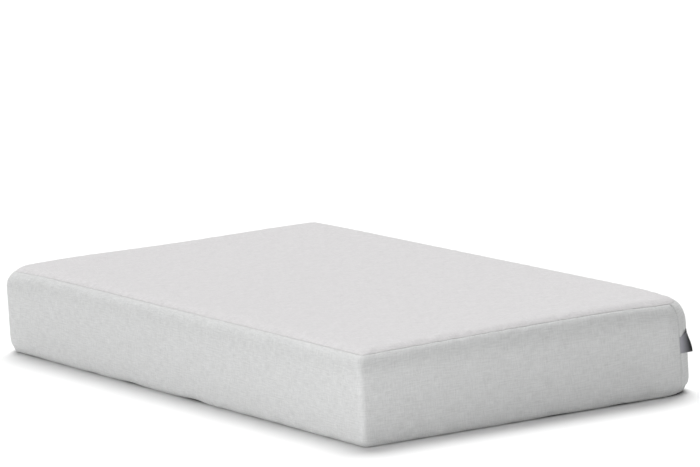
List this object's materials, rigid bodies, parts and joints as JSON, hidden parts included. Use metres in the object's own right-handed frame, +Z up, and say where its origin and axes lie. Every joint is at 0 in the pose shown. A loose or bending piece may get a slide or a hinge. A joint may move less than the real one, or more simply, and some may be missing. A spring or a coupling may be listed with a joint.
{
  "type": "memory foam mattress",
  "caption": "Twin-size memory foam mattress: glued foam layers in an inner sock and a zipped light grey fabric cover with a folded tab label.",
  "frame": {"origin": "on the floor, under the middle of the mattress", "axes": "+Z up, +Y towards the head end where the zip is, +X across the width, towards the side whose foot-end corner carries the tab label"},
  "size_m": [0.965, 1.9106, 0.23],
  "materials": {
    "support_foam": "open-cell polyurethane foam, dull, cut faces",
    "transition_foam": "open-cell polyurethane foam, dull, cut faces",
    "memory_foam": "viscoelastic foam, dull, fine cells",
    "sock_knit": "thin white stretch knit",
    "cover_fabric": "light grey melange woven look, matt",
    "base_fabric": "charcoal anti-slip fabric with small grip dots",
    "zip_tape": "grey woven polyester tape",
    "zip_coil": "satin nylon monofilament",
    "zip_metal": "grey lacquered zinc",
    "tab_satin": "black woven satin ribbon, slight sheen",
    "care_satin": "white satin ribbon, blank"
  },
  "bodies": {
    "mattress": {"support_foam_core": "support_foam", "transition_foam_layer": "transition_foam", "inner_sock": "sock_knit", "base_panel": "base_fabric", "border_wrap": "cover_fabric", "border_side": "cover_fabric", "border_head_upper": "cover_fabric", "border_head_lower": "cover_fabric", "base_seam_binding": "base_fabric", "zip_tape_upper": "zip_tape", "zip_tape_lower": "zip_tape", "zip_coil_upper": "zip_coil", "zip_coil_lower": "zip_coil", "zip_top_stop_upper": "zip_metal", "zip_top_stop_lower": "zip_metal", "zip_bottom_stop": "zip_metal", "zip_garage": "cover_fabric"},
    "comfort_top": {"top_panel": "cover_fabric", "memory_foam_layer": "memory_foam", "top_seam_binding": "cover_fabric"},
    "slider": {"zip_slider": "zip_metal"},
    "pull": {"zip_pull_tab": "zip_metal"},
    "tab": {"tab_label": "tab_satin"},
    "care_tag": {"care_label": "care_satin"}
  },
  "joints": [
    {"name": "comfort_press", "type": "slide", "parent": "mattress", "child": "comfort_top", "axis": [0, 0, -1], "range_m": [0, 0.03], "stiffness_N_per_m": 16000, "springref_m": -0.01, "deforming": ["transition_foam_layer", "inner_sock"]},
    {"name": "zip_slide", "type": "slide", "parent": "mattress", "child": "slider", "axis": [-1, 0, 0], "range_m": [0, 0.72]},
    {"name": "pull_flip", "type": "hinge", "parent": "slider", "child": "pull", "pos_m": [0.3604, 0.9561, 0.085], "axis": [0, 0, -1], "range_deg": [0, 175]},
    {"name": "tab_label_bend", "type": "hinge", "parent": "mattress", "child": "tab", "pos_m": [0.4265, -0.94386, 0.125], "axis": [0, 0, -1], "range_deg": [0, 165], "stiffness_Nm_per_rad": 0.002},
    {"name": "care_label_lift", "type": "hinge", "parent": "mattress", "child": "care_tag", "pos_m": [0.4025, 0.9532, 0.142], "axis": [0, 0, -1], "range_deg": [0, 170], "stiffness_Nm_per_rad": 0.002}
  ]
}
